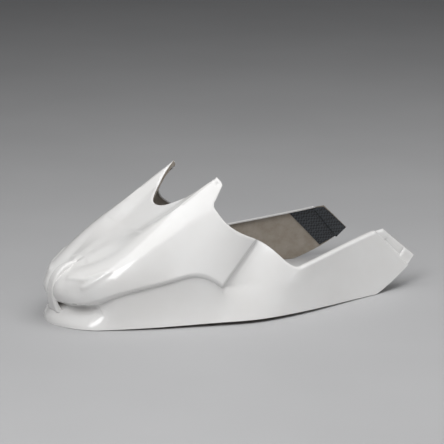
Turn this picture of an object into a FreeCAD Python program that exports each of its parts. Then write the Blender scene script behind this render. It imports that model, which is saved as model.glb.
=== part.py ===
import FreeCAD, Part
import math
import os
from FreeCAD import Vector

# One-piece moulded tank cover for a racing motorcycle, with a bonded stiffening
# patch inside the end of each rear leg.
# Millimetres. X runs from the nose to the tail, Y to the rider's right, Z up.
# A half-width is measured from the centre plane, and both sides mirror.

# Laminate
wall = 2.4
patch_thickness = 0.8
bond_gap = 0.3
lip_drop = 5.0

# Nose
nose_tip_x = 34.0
nose_tip_height = 88.0
nose_face_x = 5.0
nose_ledge_height = 41.0
lip_height = 15.0
mouth_depth = 18.0
rib_lift = 5.0
rib_flare = 0.35

# Roof, crests and horns
horn_tip_x = 280.0
horn_tip_half = 73.0
horn_tip_height = 226.0
horn_tip_round = 9.0
crest_mid_x = 141.0
crest_mid_half = 65.0
crest_mid_height = 146.0
notch_front_x = 198.0
notch_front_half = 22.0

# Shoulder and pod
shoulder_peak_x = 187.0
shoulder_peak_half = 131.0
shoulder_peak_height = 85.0
pod_corner_x = 240.0
pod_corner_half = 147.0
pod_corner_height = 64.0
pod_step = 6.0
pod_step_run = 8.0
undercut = 8.0
undercut_drop = 6.0

# Bottom edge and legs
skirt_half = 174.0
arch_height = 5.0
leg_end_x = 628.0
leg_end_height = 38.0
leg_end_half = 125.0
heel_run = 80.0
leg_top_x = 396.0
leg_top_height = 77.0

# Joggled tabs and the patches inside them
joggle_run = 59.0
joggle_rise = 64.0
joggle_depth = 3.0
tab_top_length = 19.0
tab_low_length = 16.0
tab_low_rise = 14.0
channel_depth = 0.9
channel_start = 27.0
channel_end = 66.0
patch_edge = 1.5
patch_top_edge = 4.0
patch_top_length = 44.0
patch_low_length = 33.0

# Reach of a cutter, well past the part on every side
reach = 1200.0

# Rows of the section net, from the centre plane over the crest to the bottom edge.
# The net lies on the inner face of the wall.
CENTRE, FOOT, CREST, CROWN, SHOULDER, ROOT, WAIST, LIP, BOTTOM = range(9)
ROOF_BANDS = [(CENTRE, FOOT), (FOOT, CREST)]
SIDE_BANDS = [(CREST, CROWN, SHOULDER), (SHOULDER, ROOT), (ROOT, WAIST, LIP, BOTTOM)]
POD_COLUMN = 8
STATIONS_PER_FACE = 2
EXTRA_LINES = 4


def between(start, end, share):
    """Point at a share of the way from start to end."""
    return start + (end - start) * share


def front_net():
    """Section points at each station from the nose to the rear edge of the pod."""
    tip = Vector(horn_tip_x, horn_tip_half, horn_tip_height)
    middle = Vector(crest_mid_x, crest_mid_half, crest_mid_height)
    nose_tip = Vector(nose_tip_x, 0, nose_tip_height)
    crests = [nose_tip, Vector(41, 12, 90), Vector(56, 30, 95), Vector(90, 48, 112), middle,
              between(middle, tip, 0.52) + Vector(0, 2, 0), tip, Vector(322, 78, 240), Vector(362, 102, 155)]
    centres = [nose_tip, Vector(46, 0, 92.5), Vector(66, 0, 102), Vector(98, 0, 117.5),
               Vector(145, 0, 139.5), Vector(205, 0, 176), Vector(262, 0, 208), Vector(300, 0, 210),
               Vector(340, 0, 190)]
    foot_shares = [0, 0.4, 0.4, 0.4, 0.45, 0.65, 0.75, 0.75, 0.75]
    foot_drops = [0, -1, -2, -1.5, 3, 5, 6, 6, 6]
    shoulders = [Vector(nose_face_x, 0, nose_ledge_height), Vector(10, 22, 40), Vector(33, 64, 43),
                 Vector(68, 94, 58), Vector(108, 110, 69), Vector(143, 120, 76), Vector(168, 126.5, 81.5),
                 Vector(shoulder_peak_x, shoulder_peak_half, shoulder_peak_height),
                 Vector(pod_corner_x, pod_corner_half, pod_corner_height)]
    waists = [Vector(nose_face_x + mouth_depth, 0, 24), Vector(10 + mouth_depth, 20, 24),
              Vector(36 + mouth_depth, 60, 26), Vector(75, 90, 32), Vector(110, 105, 40),
              Vector(145, 116, 45), Vector(170, 123, 48), Vector(190, 129, 50), Vector(243, 145, 42)]
    lips = [Vector(-1, 0, lip_height), Vector(2, 20, lip_height), Vector(32, 67, lip_height),
            Vector(68, 90, 16), Vector(105, 107, 19), Vector(144, 122, 22), Vector(168, 129, 23),
            Vector(187, 135, 24), Vector(239, 151, 22)]
    bottoms = [Vector(0, 0, 0), Vector(3, 20, 0), Vector(27, 68, 0), Vector(62, 92, 0.5),
               Vector(102, 112, 0.4 * arch_height), Vector(142, 128, 0.6 * arch_height),
               Vector(165, 136, 0.7 * arch_height), Vector(184, 142.5, 0.8 * arch_height),
               Vector(236, 160, arch_height)]
    crown_pulls = [21, 38, 32, 24, 16, 11, 8, 8, 5]
    crown_rises = [0, 4, 19, 23, 26, 15, 8, 8, 4]
    net = []
    for station in range(POD_COLUMN + 1):
        crest = crests[station]
        centre = centres[station]
        shoulder = shoulders[station]
        waist = waists[station]
        foot = between(centre, crest, foot_shares[station]) - Vector(0, 0, foot_drops[station])
        outward = Vector(min(shoulder.x - 110, 0), shoulder.y, 0).normalize()
        crown = between(crest, shoulder, 0.5) + outward * crown_pulls[station]
        crown.z += crown_rises[station]
        root = between(shoulder, waist, 0.5) - outward * undercut * 0.5
        root.z = shoulder.z - undercut_drop
        net.append([centre, foot, crest, crown, shoulder, root, waist, lips[station], bottoms[station]])
    return net


def leg_net(pod_edge):
    """Section points along the leg, starting just behind the rear edge of the pod."""
    step = []
    for row, point in enumerate(pod_edge):
        sink = 1.0 if row < ROOT else 0.5 if row == ROOT else 0.0
        spread = 0.3 * pod_step_run if row > ROOT else 0.0
        step.append(point + Vector(pod_step_run, spread - pod_step * sink, 0))
    tail_x = leg_end_x + heel_run * 0.4
    along = [(0.07, 0.126), (0.24, 0.35), (0.466, 0.563), (0.707, 0.772), (1, 1)]
    top_places = [(118, 150), (124, 140), (104, 140), (88, 140), (87, 135)]
    bottom_places = [(skirt_half, arch_height), (skirt_half - 7, 0.8 * arch_height),
                     (147, 0.3 * arch_height), (130, 0), (leg_end_half, 0)]
    tops = []
    bottoms = []
    for (top_share, bottom_share), top, bottom in zip(along, top_places, bottom_places):
        tops.append(Vector(step[CREST].x + (tail_x - step[CREST].x) * top_share, *top))
        bottoms.append(Vector(step[BOTTOM].x + (tail_x - step[BOTTOM].x) * bottom_share, *bottom))
    shares = {CREST: 0, CROWN: 0.3, SHOULDER: 0.6, ROOT: 0.66, WAIST: 0.77, LIP: 0.89, BOTTOM: 1}
    net = [step]
    for top, bottom in zip(tops, bottoms):
        column = [top, top]
        column += [between(top, bottom, shares[row]) for row in range(CREST, BOTTOM + 1)]
        net.append(column)
    return net


def quad_normals(net, column, row):
    """Outward unit normals of the net's patches that meet at one grid point."""
    normals = []
    point = net[column][row]
    for next_column in (column - 1, column + 1):
        if not 0 <= next_column < len(net):
            continue
        for next_row in (row - 1, row + 1):
            if not 0 <= next_row <= BOTTOM:
                continue
            roof_side = min(row, next_row) < CREST
            if roof_side and max(column, next_column) > POD_COLUMN:
                continue
            normal = (net[next_column][row] - point).cross(net[column][next_row] - point)
            if (next_column - column) * (next_row - row) < 0:
                normal = normal * -1
            if normal.Length > 1e-3:
                normals.append(normal.normalize())
    return normals


def offset_net(net, height):
    """The net moved outwards, square to its patches, with mitred creases."""
    moved = []
    for column, points in enumerate(net):
        moved_column = []
        for row, point in enumerate(points):
            normals = quad_normals(net, column, row)
            if not normals:
                moved_column.append(None)
                continue
            mean = Vector(0, 0, 0)
            for normal in normals:
                mean += normal
            if point.y < 1e-6:
                mean.y = 0
            mean.normalize()
            squareness = sum(mean.dot(normal) for normal in normals) / len(normals)
            moved_column.append(point + mean * (height / max(squareness, 0.5)))
        moved.append(moved_column)
    moved[0][CENTRE] = moved[0][CREST]
    moved[0][FOOT] = moved[0][CREST]
    return moved


def chord_parameters(net):
    """Shared parameters from the mean spacing of stations along three rows."""
    rows = (CREST, SHOULDER, BOTTOM)
    parameters = [0.0]
    for before, after in zip(net, net[1:]):
        chords = [after[row].distanceToPoint(before[row]) for row in rows]
        parameters.append(parameters[-1] + sum(chords) / len(chords))
    return parameters


def spans(parameters):
    """Parameter ranges of the lengths that the skin is divided into."""
    stops = [parameters[station] for station in range(0, len(parameters), STATIONS_PER_FACE)]
    if stops[-1] < parameters[-1]:
        stops.append(parameters[-1])
    return list(zip(stops, stops[1:]))


def row_spline(net, row, parameters):
    """Smooth curve along one row of the net."""
    curve = Part.BSplineCurve()
    curve.interpolate(Points=[column[row] for column in net], Parameters=parameters)
    return curve


def band_faces(net, rows, parameters):
    """Skin faces between neighbouring rows: straight, crowned or curled across."""
    splines = [row_spline(net, row, parameters) for row in rows]
    poles = [list(points) for points in zip(*[spline.getPoles() for spline in splines])]
    surface = Part.BSplineSurface()
    across = len(rows)
    widths = [column[rows[0]].distanceToPoint(column[rows[-1]]) for column in net]
    width = sum(widths) / len(widths)
    surface.buildFromPolesMultsKnots(
        poles, splines[0].getMultiplicities(), [across, across], splines[0].getKnots(), [0, width],
        False, False, 3, across - 1)
    for line in range(1, EXTRA_LINES):
        surface.insertVKnot(width * line / EXTRA_LINES, 1, 1e-6)
    return [surface.toShape(start, end, 0, width) for start, end in spans(parameters)]


def skin_faces(net, parameters):
    """Faces of one half of a skin."""
    front_parameters, leg_parameters = parameters
    front = net[:POD_COLUMN + 1]
    leg = net[POD_COLUMN:]
    faces = []
    for rows in ROOF_BANDS + SIDE_BANDS:
        faces += band_faces(front, rows, front_parameters)
    for rows in SIDE_BANDS:
        faces += band_faces(leg, rows, leg_parameters)
    return faces


def section_edge(points):
    """Edge across one band at a station."""
    curve = Part.BezierCurve()
    curve.setPoles(points)
    return curve.toShape()


def rim_faces(outer, inner, parameters):
    """Strips that close the wall along the free edges of one half."""
    front_parameters, leg_parameters = parameters
    pairs = []
    for row, part, along in ((BOTTOM, slice(0, POD_COLUMN + 1), front_parameters),
                             (BOTTOM, slice(POD_COLUMN, None), leg_parameters),
                             (CREST, slice(POD_COLUMN, None), leg_parameters)):
        edges = [row_spline(net[part], row, along) for net in (outer, inner)]
        pairs += [[edge.toShape(start, end) for edge in edges] for start, end in spans(along)]
    for rows in ROOF_BANDS:
        pairs.append([section_edge([net[POD_COLUMN][row] for row in rows]) for net in (outer, inner)])
    for rows in SIDE_BANDS:
        pairs.append([section_edge([net[-1][row] for row in rows]) for net in (outer, inner)])
    return [Part.makeRuledSurface(first, second) for first, second in pairs]


def skin_solid(net, low, high):
    """Solid between two heights above the inner face of the wall, on both sides of the centre plane."""
    parameters = (chord_parameters(net[:POD_COLUMN + 1]), chord_parameters(net[POD_COLUMN:]))
    outer = offset_net(net, high)
    inner = offset_net(net, low)
    faces = skin_faces(outer, parameters) + skin_faces(inner, parameters)
    faces += rim_faces(outer, inner, parameters)
    faces += [face.mirror(Vector(0, 0, 0), Vector(0, 1, 0)) for face in faces]
    shell = Part.makeShell(faces)
    shell.sewShape()
    return Part.makeSolid(shell)


def side(x, z):
    """Point of a side view."""
    return Vector(x, 0, z)


def line_edges(points):
    """Straight edges from point to point."""
    return Part.makePolygon(points).Edges


def spline_edge(points):
    """Smooth edge through the points."""
    curve = Part.BSplineCurve()
    curve.interpolate(points)
    return curve.toShape()


def moved_points(points, up, distance):
    """Points moved to the right of the line they form, seen against the up direction."""
    moved = []
    for index, point in enumerate(points):
        way = points[min(index + 1, len(points) - 1)] - points[max(index - 1, 0)]
        moved.append(point + way.cross(up).normalize() * distance)
    return moved


def side_prism(edges):
    """Side-view outline carried across the whole width."""
    face = Part.Face(Part.Wire(edges))
    face.translate(Vector(0, -reach, 0))
    return face.extrude(Vector(0, 2 * reach, 0))


def opening_cutter(grow=0):
    """Everything above the rear edges of the horns and the tops of the legs."""
    corner, _ = joggle_line(0)
    line = [side(horn_tip_x - horn_tip_round, horn_tip_height + 0.5),
            side(horn_tip_x - 0.4 * horn_tip_round, horn_tip_height - 4),
            side(horn_tip_x - 3, horn_tip_height - 13), side(256.5, 190), side(254, 184), side(256, 177),
            side(270, 154.5), side(295, 137), side(324, 123), side(342, 111), side(360, 91), side(378, 77.5),
            side(leg_top_x, leg_top_height), corner]
    line = moved_points(line, Vector(0, -1, 0), grow)
    edges = [
        Part.Arc(*line[:3]).toShape(),
        Part.LineSegment(*line[2:4]).toShape(),
        Part.Arc(*line[3:6]).toShape(),
        spline_edge(line[5:13]),
    ]
    above = [side(reach, line[-1].z), side(reach, reach), side(line[0].x, reach), line[0]]
    edges += line_edges(line[12:] + above)
    return side_prism(edges)


def joggle_line(ahead):
    """Ends of the line where the leg steps inwards to its tab, moved forwards by a distance."""
    low = side(leg_end_x, leg_end_height)
    top = low + side(-joggle_run, joggle_rise)
    along = low - top
    forwards = Vector(along.z, 0, -along.x).normalize()
    return top + forwards * ahead, low + forwards * ahead


def leg_end_cutter():
    """Everything behind the joggle line and below the curved end of the leg."""
    top, low = joggle_line(0)
    heel = side(low.x - heel_run, 0)
    curve = [low, between(low, heel, 0.3) + side(0, -2.6), between(low, heel, 0.69) + side(0, -2.8), heel]
    edges = [spline_edge(curve)]
    edges += line_edges([heel, side(heel.x, -reach), side(reach, -reach), side(reach, top.z), top, low])
    return side_prism(edges)


def notch_cutter(grow=0):
    """U-shaped gap between the horns, seen from above."""
    arm = [(204, notch_front_half), (216, 36), (238, 55), (horn_tip_x + 2, horn_tip_half + 3)]
    right = [Vector(x, half, 0) for x, half in arm[::-1]]
    left = [Vector(x, -half, 0) for x, half in arm]
    rim = moved_points(right + [Vector(notch_front_x, 0, 0)] + left, Vector(0, 0, 1), grow)
    edges = [spline_edge(rim)]
    edges += line_edges([rim[-1], Vector(reach, rim[-1].y, 0), Vector(reach, rim[0].y, 0), rim[0]])
    face = Part.Face(Part.Wire(edges))
    face.translate(Vector(0, 0, horn_tip_height / 2))
    return face.extrude(Vector(0, 0, reach))


def joggle_strip(front, back):
    """Strip along the joggle line, between two distances ahead of it."""
    top_front, low_front = joggle_line(front)
    top_back, low_back = joggle_line(back)
    return side_prism(line_edges([top_front, low_front, low_back, top_back, top_front]))


def tab_prism(front, trim):
    """Side view of the tab, from ahead of the joggle line to its slanted end."""
    top, low = joggle_line(0)
    top_front, low_front = joggle_line(front)
    top_end = top + side(tab_top_length - trim, -trim)
    low_end = low + side(tab_low_length - trim, tab_low_rise)
    return side_prism(line_edges([top_front, low_front, low_end, top_end, top_front]))


def channel_prism():
    """Side view of the shallow channel across the tab."""
    top, low = joggle_line(-wall)
    top_end, low_end = joggle_line(-reach)
    along = (low - top).normalize()
    first = along * channel_start
    last = along * channel_end
    return side_prism(line_edges([top + first, top + last, top_end + last, top_end + first, top + first]))


def patch_prism(back):
    """Side view of the stiffening patch on the leg, up to a distance ahead of the joggle line."""
    top, low = joggle_line(back)
    top_way = (side(leg_top_x, leg_top_height) - top).normalize()
    low_way = side(-heel_run, -leg_end_height).normalize()
    along = (low - top).normalize()
    top += along * patch_top_edge
    low -= along * patch_edge
    corners = [top, low, low + low_way * patch_low_length, top + top_way * patch_top_length]
    return side_prism(line_edges(corners + corners[:1]))


def patch_solids(net):
    """Stiffening laminate bonded inside both legs and their tabs, left then right."""
    back = wall + bond_gap
    front = back + patch_thickness
    tab_top = -joggle_depth - bond_gap
    tab_face = tab_top - patch_thickness
    leg_part = skin_solid(net, -bond_gap - patch_thickness, -bond_gap).common(patch_prism(back))
    step_part = skin_solid(net, tab_face, -bond_gap).common(joggle_strip(front, back))
    tab_part = skin_solid(net, tab_face, tab_top).common(tab_prism(front, patch_edge))
    both = leg_part.fuse([step_part, tab_part]).cut(opening_cutter(wall + bond_gap))
    return sorted(both.Solids, key=lambda solid: solid.CenterOfMass.y)


def rib_section(x, z, half, depth, tilt, lift):
    """Trapezoid across the nose rib: face outside, root inside the wall."""
    inward = Vector(math.cos(math.radians(tilt)), 0, -math.sin(math.radians(tilt)))
    root = Vector(x, 0, z) + inward * (depth - wall)
    face = Vector(x, 0, z) - inward * rib_lift * lift
    face_half = Vector(0, half, 0)
    root_half = Vector(0, half + rib_flare * depth, 0)
    corners = [face + face_half, face - face_half, root - root_half, root + root_half]
    return Part.makePolygon(corners + corners[:1])


def nose_rib():
    """Rib that runs from the roof over the nose and down to the lip."""
    sections = [
        rib_section(53, 97, 1.5, 3.2, 65, 0.35),
        rib_section(38, 93.2, 5, 5, 65, 0.9),
        rib_section(22, 84, 8, 7, 52, 1.3),
        rib_section(12, 75, 8.5, 6.5, 30, 1.1),
        rib_section(4, 55, 10.5, 5.5, 5, 0.8),
        rib_section(4, 38, 12.5, 5.5, 0, 0.6),
        rib_section(9, 19, 16, 10, 0, 0.6),
    ]
    return Part.makeLoft(sections, True, False)


def tank_cover_shell(net):
    """The moulded shell with its trimmed edges, turned lips, joggled tabs and nose rib."""
    skin = skin_solid(net, 0, wall)
    outside = [opening_cutter(), leg_end_cutter(), notch_cutter()]
    skin = skin.cut(outside)
    thick = skin_solid(net, -lip_drop, wall)
    lips = [thick.common(grown).cut(outside) for grown in (opening_cutter(wall), notch_cutter(wall))]
    web = skin_solid(net, -joggle_depth, wall).common(joggle_strip(wall, -wall)).cut(outside)
    tab = skin_solid(net, -joggle_depth, wall - joggle_depth).common(tab_prism(wall, 0))
    channel = skin_solid(net, wall - joggle_depth - channel_depth, wall).common(channel_prism())
    tab = tab.cut(channel)
    shell = skin.fuse(lips)
    shell = shell.fuse([web, tab])
    return shell.fuse(nose_rib()).Solids[0]


front = front_net()
net = front + leg_net(front[-1])
shell = tank_cover_shell(net)
left_patch, right_patch = patch_solids(net)
nodes = {
    "tank_cover_shell": shell,
    "leg_patch_left": left_patch,
    "leg_patch_right": right_patch,
}

# The origin lies under the middle of the shell, level with its lowest edge
box = shell.optimalBoundingBox()
stand = Vector(-box.Center.x, -box.Center.y, -box.ZMin)
os.makedirs("parts", exist_ok=True)
for name, shape in nodes.items():
    shape.translate(stand)
    shape.exportStep("parts/" + name + ".step")
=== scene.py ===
import math
import bpy
import bmesh
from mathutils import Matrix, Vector
from mathutils.kdtree import KDTree


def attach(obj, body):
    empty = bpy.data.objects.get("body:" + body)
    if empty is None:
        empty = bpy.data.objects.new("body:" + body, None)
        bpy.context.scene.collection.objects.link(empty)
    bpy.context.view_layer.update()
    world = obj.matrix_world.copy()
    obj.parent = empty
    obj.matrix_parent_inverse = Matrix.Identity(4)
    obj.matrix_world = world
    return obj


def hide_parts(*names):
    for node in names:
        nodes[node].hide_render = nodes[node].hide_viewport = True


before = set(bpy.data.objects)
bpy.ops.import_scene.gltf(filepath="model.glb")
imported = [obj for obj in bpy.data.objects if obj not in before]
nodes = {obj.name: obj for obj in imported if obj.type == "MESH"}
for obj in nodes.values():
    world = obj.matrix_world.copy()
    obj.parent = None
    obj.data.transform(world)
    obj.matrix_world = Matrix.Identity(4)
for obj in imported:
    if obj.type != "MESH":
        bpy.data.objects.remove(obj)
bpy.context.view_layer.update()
scene = bpy.context.scene

# Camera: place in metres and viewing direction in the row frame, lens and sensor in millimetres
camera_place = Vector((-1.9552, -3.3971, 1.1441))
camera_way = Vector((0.48361, 0.83853, -0.25113))
camera_lens = 194.6
camera_sensor = 36.0

# Points closer than this are one point, in metres
same_point = 1e-6

# Angles of the edges that part skin from rim, and that shade as sharp, in degrees,
# and the widest region that counts as a rim, in metres
crease = 40.0
sharp_angle = 30.0
rim_width = 0.004

# Middle of the hollow, from which the outer skin looks away: its ends in X and its greatest height,
# in metres. The legs begin behind leg_start, and there the centre plane is the middle.
hollow_front, hollow_rear = -0.235, -0.06
hollow_height = 0.04
leg_start = 0.02

# Rolled edges of the skin, in metres: width of the roll on skin and rim, drop, spacing of the points
# along it and longest edge aimed at near it. Then the least angle of a rolled edge, in degrees, and the
# slope of a rim's normal below which the rim is the lower one and stays as it is.
roll_width = 0.004
roll_rim = 0.0022
roll_drop = 0.0016
roll_spacing = 0.001
roll_length = 0.0025
roll_crease = 38.0
lower_rim = -0.2

# Most rounds of splitting long edges
refine_rounds = 7

# Fine relief of the left side, which the right side mirrors, in metres: longest edge aimed at and reach
# of the splitting, then for each line its points, outward direction, width and height. A line counts up
# to relief_edge times its width, and eases off over end_share of its length.
relief_spacing = 0.003
relief_reach = 0.015
relief_edge = 2.0
end_share = 0.25
brow_meet = (-0.2424, -0.0854, 0.1008)
brow_width, brow_height = 0.0045, 0.0018
relief_lines = [
    # Upper and lower ridge of the brow
    ([(-0.3020, -0.0330, 0.0790), (-0.2879, -0.0593, 0.0817), brow_meet],
     (-0.62, -0.47, 0.63), brow_width, brow_height),
    ([(-0.2930, -0.0660, 0.0700), (-0.2845, -0.0695, 0.0740), brow_meet],
     (-0.66, -0.67, 0.34), brow_width, brow_height),
    # Scoop beside the nose pillar
    ([(-0.3060, -0.0340, 0.0640), (-0.2960, -0.0520, 0.0640)], (-0.75, -0.50, 0.40), 0.012, -0.0035),
    # Dimple near the tip of the horn
    ([(-0.0518, -0.0803, 0.2163), (-0.0508, -0.0803, 0.2163)], (-0.38, -0.66, 0.65), 0.004, -0.0012),
]

# Mouth beside the nose pillar, in metres: line along it, reach from the centre plane, lower edge and its
# rise, upper edge and its drop at the tip, depth, and the places in X that it sinks towards and ends at.
# Then the share of its height that each wall takes, and of its length in which it opens and its tip drops.
mouth_line = [(-0.316, -0.016, 0.028), (-0.300, -0.050, 0.028), (-0.268, -0.080, 0.026)]
mouth_near, mouth_far = 0.020, 0.083
mouth_ledge, mouth_ledge_rise = 0.0165, 0.006
mouth_top, mouth_tip_drop = 0.040, 0.015
mouth_sink = 0.008
mouth_axis_x = -0.21
mouth_rear_x = -0.25
mouth_wall = 0.25
mouth_opening = 0.4
mouth_tip = 0.25

# Thinnest face kept, in metres, the angle past which a face counts as folded, in degrees,
# and how far and how often its corners are moved back
sliver = 0.00002
fold_angle = 150.0
fold_back = 0.5
fold_rounds = 20

# Kinds of face on the skin
RIM, OUTER, INNER = range(3)


def node_material(name):
    """Empty node material with one Principled shader."""
    material = bpy.data.materials.new(name)
    material.use_nodes = True
    tree = material.node_tree
    tree.nodes.clear()
    out = tree.nodes.new("ShaderNodeOutputMaterial")
    shader = tree.nodes.new("ShaderNodeBsdfPrincipled")
    tree.links.new(shader.outputs["BSDF"], out.inputs["Surface"])
    return material, tree, shader


def place(tree):
    """Coordinates of the object itself."""
    return tree.nodes.new("ShaderNodeTexCoord").outputs["Object"]


def noise(tree, scale, detail, roughness=0.5):
    """Noise over the object's coordinates."""
    node = tree.nodes.new("ShaderNodeTexNoise")
    node.inputs["Scale"].default_value = scale
    node.inputs["Detail"].default_value = detail
    node.inputs["Roughness"].default_value = roughness
    tree.links.new(place(tree), node.inputs["Vector"])
    return node.outputs["Fac"]


def ramp(tree, source, stops):
    """Colour ramp over a value."""
    node = tree.nodes.new("ShaderNodeValToRGB")
    elements = node.color_ramp.elements
    while len(elements) < len(stops):
        elements.new(0.5)
    for element, (position, colour) in zip(elements, stops):
        element.position = position
        element.color = (*colour, 1.0)
    tree.links.new(source, node.inputs["Fac"])
    return node.outputs["Color"]


def bump(tree, shader, source, distance, strength):
    """Fine relief on a shader."""
    node = tree.nodes.new("ShaderNodeBump")
    node.inputs["Distance"].default_value = distance
    node.inputs["Strength"].default_value = strength
    tree.links.new(source, node.inputs["Height"])
    tree.links.new(node.outputs["Normal"], shader.inputs["Normal"])


def gelcoat():
    """Glossy white gelcoat, very slightly uneven."""
    material, tree, shader = node_material("white_gelcoat")
    cloud = noise(tree, 14.0, 3.0)
    colour = ramp(tree, cloud, [(0.3, (0.80, 0.79, 0.775)), (0.7, (0.84, 0.835, 0.825))])
    tree.links.new(colour, shader.inputs["Base Color"])
    shader.inputs["Roughness"].default_value = 0.17
    shader.inputs["Coat Weight"].default_value = 0.3
    shader.inputs["Coat Roughness"].default_value = 0.05
    bump(tree, shader, noise(tree, 45.0, 2.0), 0.0004, 0.08)
    return material


def raw_laminate():
    """Unpainted glass laminate: warm grey with a fibrous mottle."""
    material, tree, shader = node_material("raw_glass_laminate")
    mottle = noise(tree, 55.0, 6.0, 0.65)
    shades = [(0.32, (0.35, 0.295, 0.235)), (0.52, (0.40, 0.35, 0.29)), (0.72, (0.45, 0.40, 0.345))]
    colour = ramp(tree, mottle, shades)
    tree.links.new(colour, shader.inputs["Base Color"])
    shader.inputs["Roughness"].default_value = 0.48
    bump(tree, shader, noise(tree, 260.0, 4.0, 0.7), 0.0006, 0.35)
    return material


def carbon_weave():
    """Dark woven cloth under resin."""
    material, tree, shader = node_material("carbon_weave")
    checker = tree.nodes.new("ShaderNodeTexChecker")
    mapping = tree.nodes.new("ShaderNodeMapping")
    mapping.inputs["Rotation"].default_value = (0.0, math.radians(42), 0.0)
    tree.links.new(place(tree), mapping.inputs["Vector"])
    tree.links.new(mapping.outputs["Vector"], checker.inputs["Vector"])
    checker.inputs["Scale"].default_value = 260.0
    checker.inputs["Color1"].default_value = (0.012, 0.014, 0.017, 1)
    checker.inputs["Color2"].default_value = (0.055, 0.062, 0.072, 1)
    tree.links.new(checker.outputs["Color"], shader.inputs["Base Color"])
    shader.inputs["Roughness"].default_value = 0.35
    bump(tree, shader, checker.outputs["Fac"], 0.0005, 0.4)
    return material


def floor_material():
    """Pale matt floor."""
    material, tree, shader = node_material("pale_floor")
    cloud = noise(tree, 3.0, 2.0)
    colour = ramp(tree, cloud, [(0.3, (0.45, 0.45, 0.455)), (0.7, (0.47, 0.47, 0.475))])
    tree.links.new(colour, shader.inputs["Base Color"])
    shader.inputs["Roughness"].default_value = 0.75
    return material


def smooth_regions(mesh):
    """Faces of a bmesh grouped into areas bounded by sharp edges, each with the sharp edges of all."""
    limit = math.radians(crease)
    sharp = {e for e in mesh.edges if len(e.link_faces) != 2 or e.calc_face_angle(0.0) > limit}
    seen = set()
    for start in mesh.faces:
        if start in seen:
            continue
        seen.add(start)
        region = []
        waiting = [start]
        while waiting:
            face = waiting.pop()
            region.append(face)
            for edge in face.edges:
                if edge in sharp:
                    continue
                for other in edge.link_faces:
                    if other not in seen:
                        seen.add(other)
                        waiting.append(other)
        yield region, sharp


def faces_outwards(face):
    """Whether a face looks away from the hollow of the shell."""
    middle = face.calc_center_median()
    if middle.x > leg_start:
        return face.normal.y * middle.y > 0
    axis = Vector((min(max(middle.x, hollow_front), hollow_rear), 0, min(middle.z, hollow_height)))
    return face.normal.dot(middle - axis) > 0


def rolled_edges(mesh, kind):
    """Search tree of points along the outer skin's ridges and upper edges, and its normals there."""
    samples = []
    for edge in mesh.edges:
        skin = [face for face in edge.link_faces if face[kind] == OUTER]
        if not skin or not edge.is_convex or edge.calc_face_angle(0.0) < math.radians(roll_crease):
            continue
        if any(face.normal.z < lower_rim for face in edge.link_faces if face[kind] == RIM):
            continue
        normal = sum((face.normal for face in skin), Vector()).normalized()
        samples += [(point, normal) for point in line_points([vert.co.copy() for vert in edge.verts])]
    return point_tree([point for point, normal in samples]), [normal for point, normal in samples]


def whole_faces(split):
    """Edges to split, with the third edge of each triangle that would have two."""
    waiting = list(split)
    while waiting:
        for face in waiting.pop().link_faces:
            rest = [edge for edge in face.edges if edge not in split]
            if len(rest) == 1:
                split.add(rest[0])
                waiting.append(rest[0])
    return list(split)


def refine(mesh, tree, width, length):
    """Split the long edges close to the points of a search tree."""
    for turn in range(refine_rounds):
        near = {vert for vert in mesh.verts if tree.find(vert.co)[2] < width}
        split = {edge for edge in mesh.edges
                 if edge.calc_length() > length and (edge.verts[0] in near or edge.verts[1] in near)}
        if not split:
            break
        bmesh.ops.subdivide_edges(mesh, edges=whole_faces(split), cuts=1)
        bmesh.ops.triangulate(mesh, faces=[face for face in mesh.faces if len(face.verts) > 3])


def drop_slivers(mesh):
    """Take out most faces that are too thin to see."""
    bmesh.ops.dissolve_degenerate(mesh, dist=sliver, edges=mesh.edges[:])
    bmesh.ops.triangulate(mesh, faces=[face for face in mesh.faces if len(face.verts) > 3])


def ease_folds(mesh, flat):
    """Move the corners of folded faces back towards where they lay."""
    for turn in range(fold_rounds):
        mesh.normal_update()
        folded = {vert for edge in mesh.edges if edge.calc_face_angle(0.0) > math.radians(fold_angle)
                  for face in edge.link_faces for vert in face.verts}
        for vert in folded:
            vert.co = vert.co.lerp(flat[vert], fold_back)


def roll_edges(mesh, kind, tree, normals):
    """Round the outer skin off along its ridges and upper edges."""
    for vert in mesh.verts:
        point, index, distance = tree.find(vert.co)
        if any(face[kind] == OUTER for face in vert.link_faces):
            share = max(1 - distance / roll_width, 0) ** 2
        else:
            share = max(1 - distance / roll_rim, 0)
        vert.co -= normals[index] * roll_drop * share


def point_tree(points):
    """Search tree of points."""
    tree = KDTree(len(points))
    for index, point in enumerate(points):
        tree.insert(point, index)
    tree.balance()
    return tree


def line_points(line):
    """Close points along a line."""
    points = []
    for first, last in zip(line, line[1:]):
        steps = max(1, math.ceil((last - first).length / roll_spacing))
        points += [first.lerp(last, step / steps) for step in range(steps + 1)]
    return points


def both_sides(line):
    """A line of the left side, and its mirror image."""
    return [[Vector((x, y * way, z)) for x, y, z in line] for way in (1, -1)]


def refine_relief(mesh):
    """Smaller faces where the relief lies."""
    lines = [line for line, direction, width, height in relief_lines] + [mouth_line]
    points = [point for line in lines for path in both_sides(line) for point in line_points(path)]
    refine(mesh, point_tree(points), relief_reach, relief_spacing)


def raise_lines(mesh):
    """Brow ridges, scoops and horn dimples: the wall moves out or in along each line."""
    for line, direction, width, height in relief_lines:
        for path, (push,) in zip(both_sides(line), both_sides([direction])):
            tree = point_tree(line_points(path))
            taper = (path[-1] - path[0]).length * end_share
            for vert in mesh.verts:
                gap = tree.find(vert.co)[2]
                if gap < relief_edge * width:
                    fade = ease((vert.co - path[-1]).length / taper)
                    vert.co += push.normalized() * (height * math.exp(-(gap / width) ** 2) * fade)


def ease(share):
    """Smooth step from nought to one."""
    share = min(max(share, 0.0), 1.0)
    return share * share * (3 - 2 * share)


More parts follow.
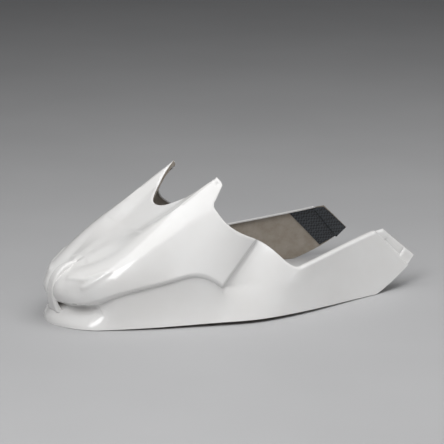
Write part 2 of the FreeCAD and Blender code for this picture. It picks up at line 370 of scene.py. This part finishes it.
def sink_mouth(mesh):
    """Leaf-shaped mouth on both sides of the pillar, with a ledge below."""
    for vert in mesh.verts:
        along = (abs(vert.co.y) - mouth_near) / (mouth_far - mouth_near)
        if not 0 < along < 1 or vert.co.x > mouth_rear_x:
            continue
        low = mouth_ledge + mouth_ledge_rise * along
        high = mouth_top - mouth_tip_drop * ease((along - 1) / mouth_tip + 1)
        up = (vert.co.z - low) / (high - low)
        walls = ease(up / mouth_wall) * ease((1 - up) / mouth_wall)
        depth = mouth_sink * walls * ease(along / mouth_opening) * (1 - along ** 2)
        vert.co += Vector((mouth_axis_x - vert.co.x, -vert.co.y, 0)).normalized() * depth


def mark_kinds(mesh, kind):
    """Tell outer skin, inner skin and rims apart."""
    for region, sharp in smooth_regions(mesh):
        area = sum(face.calc_area() for face in region)
        inside = set(region)
        border = sum(e.calc_length() for f in region for e in f.edges
                     if e in sharp or any(other not in inside for other in e.link_faces))
        votes = sum(face.calc_area() * (1 if faces_outwards(face) else -1) for face in region)
        is_rim = area < border * rim_width / 2
        for face in region:
            face[kind] = RIM if is_rim else OUTER if votes > 0 else INNER


def shape_skin(mesh, kind):
    """Roll the edges, sink the mouth and raise the relief of the skin."""
    tree, normals = rolled_edges(mesh, kind)
    refine(mesh, tree, roll_width, roll_length)
    refine_relief(mesh)
    drop_slivers(mesh)
    flat = {vert: vert.co.copy() for vert in mesh.verts}
    roll_edges(mesh, kind, tree, normals)
    sink_mouth(mesh)
    raise_lines(mesh)
    ease_folds(mesh, flat)
    mesh.normal_update()


def moulded_skin(node):
    """Copy of the shell with smooth faces and fine relief, white outside and bare laminate inside."""
    data = node.data.copy()
    data.name = "moulded_skin"
    data.materials.clear()
    data.materials.append(gelcoat())
    data.materials.append(raw_laminate())
    mesh = bmesh.new()
    mesh.from_mesh(data)
    bmesh.ops.remove_doubles(mesh, verts=mesh.verts, dist=same_point)
    mesh.normal_update()
    kind = mesh.faces.layers.int.new("kind")
    mark_kinds(mesh, kind)
    shape_skin(mesh, kind)
    for face in mesh.faces:
        face.smooth = True
        face.material_index = 1 if face[kind] == INNER else 0
    for edge in mesh.edges:
        is_flat = edge.calc_face_angle(0.0) < math.radians(sharp_angle)
        edge.smooth = len(edge.link_faces) == 2 and is_flat
    mesh.faces.layers.int.remove(kind)
    mesh.to_mesh(data)
    mesh.free()
    skin = bpy.data.objects.new("moulded_skin", data)
    scene.collection.objects.link(skin)
    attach(skin, "root")
    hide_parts(node.name)


def area_light(name, spot, target, size, power):
    """White soft box aimed at a point."""
    data = bpy.data.lights.new(name, "AREA")
    data.shape = "RECTANGLE"
    data.size, data.size_y = size
    data.energy = power
    light = bpy.data.objects.new(name, data)
    light.location = spot
    light.rotation_euler = (Vector(target) - Vector(spot)).to_track_quat("-Z", "Y").to_euler()
    scene.collection.objects.link(light)


moulded_skin(nodes["tank_cover_shell"])
weave = carbon_weave()
for name in ("leg_patch_left", "leg_patch_right"):
    patch = nodes[name]
    patch.data.materials.clear()
    patch.data.materials.append(weave)

# Floor, from -reach to reach metres in X and Y
reach = 12.0
corners = [(-reach, -reach, 0), (reach, -reach, 0), (reach, reach, 0), (-reach, reach, 0)]
floor_data = bpy.data.meshes.new("floor")
floor_data.from_pydata(corners, [], [(0, 1, 2, 3)])
floor = bpy.data.objects.new("floor", floor_data)
floor_data.materials.append(floor_material())
scene.collection.objects.link(floor)

# Light: places, aims and sizes in metres, power in watts
world = bpy.data.worlds.new("studio")
world.use_nodes = True
background = world.node_tree.nodes["Background"]
background.inputs["Color"].default_value = (0.80, 0.82, 0.86, 1)
background.inputs["Strength"].default_value = 0.07
scene.world = world
area_light("overhead_box", (-0.1, -0.5, 2.3), (-0.05, 0, 0.1), (3.2, 2.2), 50)
area_light("key_box", (-1.7, -1.3, 1.9), (-0.05, 0, 0.1), (1.1, 1.1), 27)
area_light("right_box", (1.6, -1.6, 1.3), (0.1, 0, 0.1), (1.4, 1.2), 7)

# Camera
camera_data = bpy.data.cameras.new("camera")
camera_data.lens = camera_lens
camera_data.sensor_width = camera_sensor
camera = bpy.data.objects.new("camera", camera_data)
camera.location = camera_place
camera.rotation_euler = camera_way.to_track_quat("-Z", "Y").to_euler()
scene.collection.objects.link(camera)
scene.camera = camera

scene.view_settings.view_transform = "Standard"
